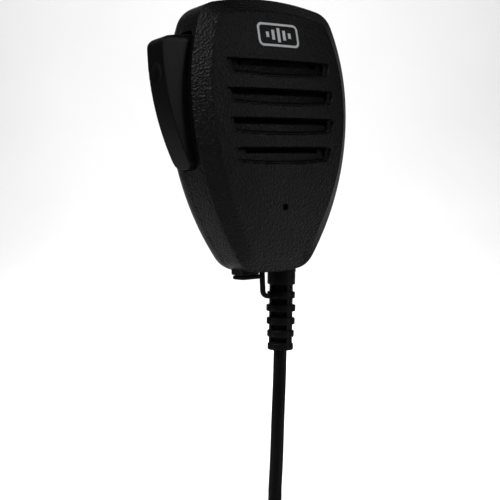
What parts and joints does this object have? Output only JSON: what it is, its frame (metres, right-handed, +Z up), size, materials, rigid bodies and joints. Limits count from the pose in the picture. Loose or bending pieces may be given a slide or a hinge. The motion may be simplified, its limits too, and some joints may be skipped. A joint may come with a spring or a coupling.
{
  "type": "hand microphone",
  "caption": "Handheld communications microphone with a slotted speaker grille, a side talk button, a rear hang-up stud, an earphone jack with a flap, and a curly cord ending in a round plug.",
  "frame": {"origin": "middle of the head of the hang-up stud, on the stud's axis", "axes": "+Z up, towards the microphone's top; the grille faces -Y; +Y along the stud, out of the rear face; the talk button is on the -X side"},
  "size_m": [0.095, 0.0948, 0.1947],
  "materials": {
    "housing": "fine pebble grain",
    "button_plastic": "fine smooth satin",
    "seal": "matt",
    "screw_steel": "zinc plated",
    "white_print": "printed",
    "cloth": "fine woven",
    "foam": "foam",
    "pressed_steel": "plain",
    "cone_paper": "pressed",
    "magnet_steel": "plated",
    "capsule_metal": "satin",
    "board": "solder mask",
    "chip_plastic": "moulded",
    "socket_plastic": "moulded",
    "cord_rubber": "moulded satin",
    "cord_jacket": "smooth satin",
    "wire_jacket": "smooth",
    "header_plastic": "moulded",
    "stud_plastic": "moulded satin",
    "insert_brass": "turned",
    "plug_metal": "satin nickel",
    "contact_gold": "plated",
    "plunger_plastic": "moulded"
  },
  "bodies": {
    "housing": {"front_shell": "housing", "rear_shell": "housing", "case_gasket": "seal", "case_screws": "screw_steel", "badge_print": "white_print", "grille_cloth": "cloth", "speaker_gasket": "foam", "speaker_frame": "pressed_steel", "speaker_cone": "cone_paper", "speaker_magnet": "magnet_steel", "mic_capsule": "capsule_metal", "mic_boot": "seal", "circuit_board": "board", "board_chips": "chip_plastic", "ptt_switch": "chip_plastic", "ptt_pin": "screw_steel", "ptt_spring": "screw_steel", "jack_socket": "socket_plastic", "flap_strap": "cord_rubber", "strain_relief": "cord_rubber", "cord_inner": "cord_jacket", "cable_clamp": "pressed_steel", "clamp_screws": "screw_steel", "core_wires": "wire_jacket", "wire_header": "header_plastic", "hang_stud": "stud_plastic", "stud_screw": "screw_steel", "stud_insert": "insert_brass", "cord_tail": "cord_jacket", "cord_curl": "cord_jacket", "cord_lead": "cord_jacket", "plug_boot": "cord_rubber", "plug_shell": "plug_metal", "plug_insert": "chip_plastic", "plug_contacts": "contact_gold", "plug_screw": "screw_steel"},
    "plunger": {"switch_plunger": "plunger_plastic"},
    "button": {"ptt_button": "button_plastic"},
    "flap": {"jack_flap": "cord_rubber"},
    "ring": {"plug_ring": "plug_metal"}
  },
  "joints": [
    {"name": "ptt_press", "type": "hinge", "parent": "housing", "child": "button", "pos_m": [-0.0255, -0.018, -0.025], "axis": [0, 1, 0], "range_deg": [0, 4], "stiffness_Nm_per_rad": 0.3, "springref_deg": -1.15},
    {"name": "plunger_slide", "type": "slide", "parent": "housing", "child": "plunger", "axis": [1, 0, 0], "range_m": [0, 0.0011]},
    {"name": "flap_swing", "type": "hinge", "parent": "housing", "child": "flap", "pos_m": [-0.0018, -0.018, -0.0656], "axis": [0, -1, 0], "range_deg": [0, 90]},
    {"name": "ring_spin", "type": "hinge", "parent": "housing", "child": "ring", "pos_m": [0.00086, -0.05228, -0.1585], "axis": [0.8192, -0.5736, 0], "continuous": true}
  ],
  "couplings": [
    {"joint": "plunger_slide", "follows": "ptt_press", "m_per_rad": 0.0135}
  ]
}
